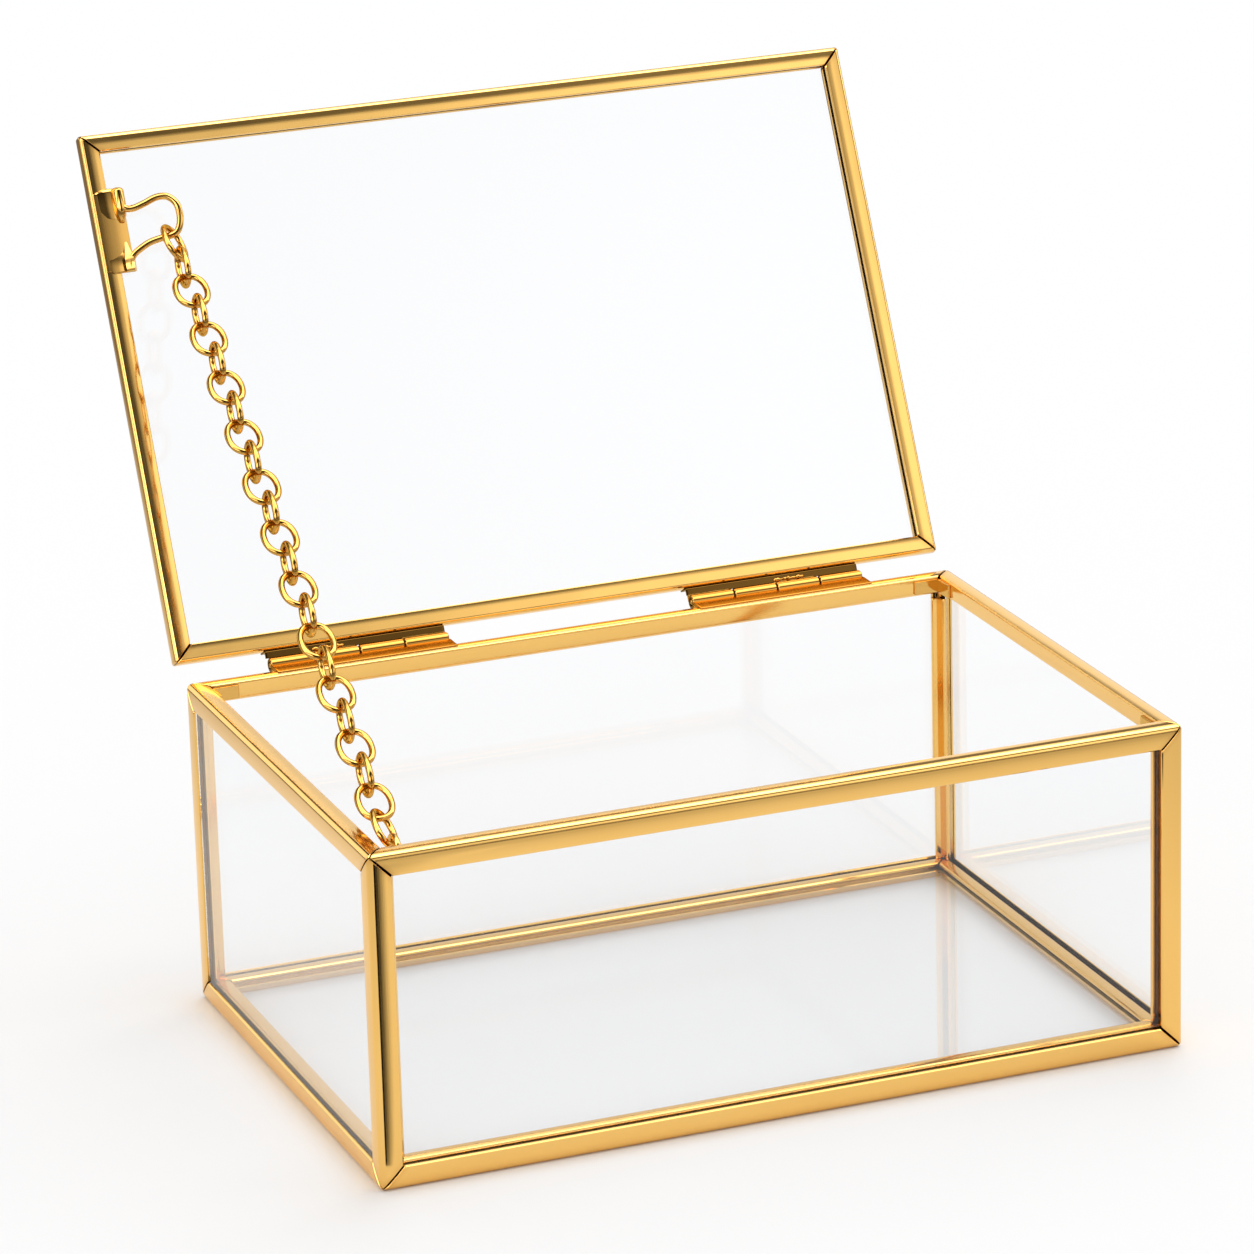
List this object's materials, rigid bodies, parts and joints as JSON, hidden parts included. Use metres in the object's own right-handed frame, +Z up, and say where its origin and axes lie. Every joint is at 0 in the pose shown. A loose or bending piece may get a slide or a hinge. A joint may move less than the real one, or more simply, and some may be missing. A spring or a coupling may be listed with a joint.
{
  "type": "glass keepsake box",
  "caption": "Hinged glass box for papers and keepsakes, its panes held in mitred polished brass strips, with barrel hinges and a wire link stay chain that holds the lid open.",
  "frame": {"origin": "middle of the base, on the surface that the box stands on", "axes": "+X to the right, -Y to the front, +Z up; the lid is open at rest"},
  "size_m": [0.16, 0.1583, 0.159],
  "materials": {
    "frame_brass": "polished",
    "hinge_brass": "polished",
    "chain_brass": "polished",
    "glass": "clear"
  },
  "bodies": {
    "case": {"base_rail_back": "frame_brass", "base_rail_front": "frame_brass", "base_rail_left": "frame_brass", "base_rail_right": "frame_brass", "chain_anchor": "chain_brass", "corner_clips": "chain_brass", "corner_post_back_left": "frame_brass", "corner_post_back_right": "frame_brass", "corner_post_front_left": "frame_brass", "corner_post_front_right": "frame_brass", "floor_channel_back": "frame_brass", "floor_channel_front": "frame_brass", "floor_channel_left": "frame_brass", "floor_channel_right": "frame_brass", "glass_back": "glass", "glass_floor": "glass", "glass_front": "glass", "glass_left": "glass", "glass_right": "glass", "hinge_left_case_leaf": "hinge_brass", "hinge_pins": "hinge_brass", "hinge_right_case_leaf": "hinge_brass", "top_rail_back": "frame_brass", "top_rail_front": "frame_brass", "top_rail_left": "frame_brass", "top_rail_right": "frame_brass"},
    "lid": {"bail_bracket": "chain_brass", "chain_bail": "chain_brass", "hinge_left_lid_leaf": "hinge_brass", "hinge_right_lid_leaf": "hinge_brass", "lid_glass": "glass", "lid_rail_back": "frame_brass", "lid_rail_front": "frame_brass", "lid_rail_left": "frame_brass", "lid_rail_right": "frame_brass"},
    "chain_case_drop": {"chain_link_01": "chain_brass", "chain_link_02": "chain_brass", "chain_link_03": "chain_brass", "chain_link_04": "chain_brass", "chain_link_05": "chain_brass", "chain_link_06": "chain_brass", "chain_link_07": "chain_brass", "chain_link_08": "chain_brass"},
    "chain_case_link_09": {"chain_link_09": "chain_brass"},
    "chain_case_link_10": {"chain_link_10": "chain_brass"},
    "chain_case_link_11": {"chain_link_11": "chain_brass"},
    "chain_case_link_12": {"chain_link_12": "chain_brass"},
    "chain_lid_drop": {"chain_link_17": "chain_brass", "chain_link_18": "chain_brass", "chain_link_19": "chain_brass", "chain_link_20": "chain_brass", "chain_link_21": "chain_brass", "chain_link_22": "chain_brass", "chain_link_23": "chain_brass", "chain_link_24": "chain_brass"},
    "chain_lid_link_16": {"chain_link_16": "chain_brass"},
    "chain_lid_link_15": {"chain_link_15": "chain_brass"},
    "chain_lid_link_14": {"chain_link_14": "chain_brass"},
    "chain_lid_link_13": {"chain_link_13": "chain_brass"}
  },
  "joints": [
    {"name": "lid_hinge", "type": "hinge", "parent": "case", "child": "lid", "pos_m": [0, 0.055, 0.0638], "axis": [1, 0, 0], "range_deg": [0, 116.3]},
    {"name": "chain_case_drop_turn", "type": "hinge", "parent": "case", "child": "chain_case_drop", "pos_m": [-0.072, -0.0434, 0.0612], "axis": [-0.9991, 0.0434, 0], "range_deg": [0, 121.26]},
    {"name": "chain_case_link_09_turn", "type": "hinge", "parent": "chain_case_drop", "child": "chain_case_link_09", "pos_m": [-0.07001, 0.00254, 0.08889], "axis": [0.997, -0.0671, 0.0395], "range_deg": [0, 90.92]},
    {"name": "chain_case_link_10_turn", "type": "hinge", "parent": "chain_case_link_09", "child": "chain_case_link_10", "pos_m": [-0.06977, 0.00796, 0.09216], "axis": [-0.3067, -0.4816, 0.821], "range_deg": [0, 3.2]},
    {"name": "chain_case_link_11_turn", "type": "hinge", "parent": "chain_case_link_10", "child": "chain_case_link_11", "pos_m": [-0.06957, 0.01247, 0.09488], "axis": [0.0681, 0.5129, -0.8558], "range_deg": [0, 3.35]},
    {"name": "chain_case_link_12_turn", "type": "hinge", "parent": "chain_case_link_11", "child": "chain_case_link_12", "pos_m": [-0.06929, 0.01908, 0.09886], "axis": [-0.0681, -0.5129, 0.8558], "range_deg": [0, 0.404]},
    {"name": "chain_lid_drop_turn", "type": "hinge", "parent": "lid", "child": "chain_lid_drop", "pos_m": [-0.06623, 0.0895, 0.14131], "axis": [-0.9913, -0.0338, 0.1274], "range_deg": [0, 57.97]},
    {"name": "chain_lid_link_16_turn", "type": "hinge", "parent": "chain_lid_drop", "child": "chain_lid_link_16", "pos_m": [-0.06809, 0.04665, 0.11548], "axis": [0.999, -0.0454, 0.0034], "range_deg": [0, 67.6]},
    {"name": "chain_lid_link_15_turn", "type": "hinge", "parent": "chain_lid_link_16", "child": "chain_lid_link_15", "pos_m": [-0.06838, 0.04006, 0.11151], "axis": [0.9835, 0.06, -0.1705], "range_deg": [0, 23.37]},
    {"name": "chain_lid_link_14_turn", "type": "hinge", "parent": "chain_lid_link_15", "child": "chain_lid_link_14", "pos_m": [-0.06862, 0.03453, 0.10817], "axis": [0.0975, 0.5107, -0.8542], "range_deg": [0, 66.22]},
    {"name": "chain_lid_link_13_turn", "type": "hinge", "parent": "chain_lid_link_14", "child": "chain_lid_link_13", "pos_m": [-0.06881, 0.0301, 0.10551], "axis": [0.0975, 0.5107, -0.8542], "range_deg": [0, 60.17]}
  ],
  "couplings": [
    {"joint": "chain_case_drop_turn", "follows": "lid_hinge", "ratio": 1.0409},
    {"joint": "chain_case_link_09_turn", "follows": "lid_hinge", "ratio": 0.78009},
    {"joint": "chain_case_link_10_turn", "follows": "lid_hinge", "ratio": 0.025831},
    {"joint": "chain_case_link_11_turn", "follows": "lid_hinge", "ratio": 0.027132},
    {"joint": "chain_case_link_12_turn", "follows": "lid_hinge", "ratio": 0.0017522},
    {"joint": "chain_lid_drop_turn", "follows": "lid_hinge", "ratio": 0.49669},
    {"joint": "chain_lid_link_16_turn", "follows": "lid_hinge", "ratio": 0.5795},
    {"joint": "chain_lid_link_15_turn", "follows": "lid_hinge", "ratio": 0.1992},
    {"joint": "chain_lid_link_14_turn", "follows": "lid_hinge", "ratio": 0.56764},
    {"joint": "chain_lid_link_13_turn", "follows": "lid_hinge", "ratio": 0.51568}
  ]
}
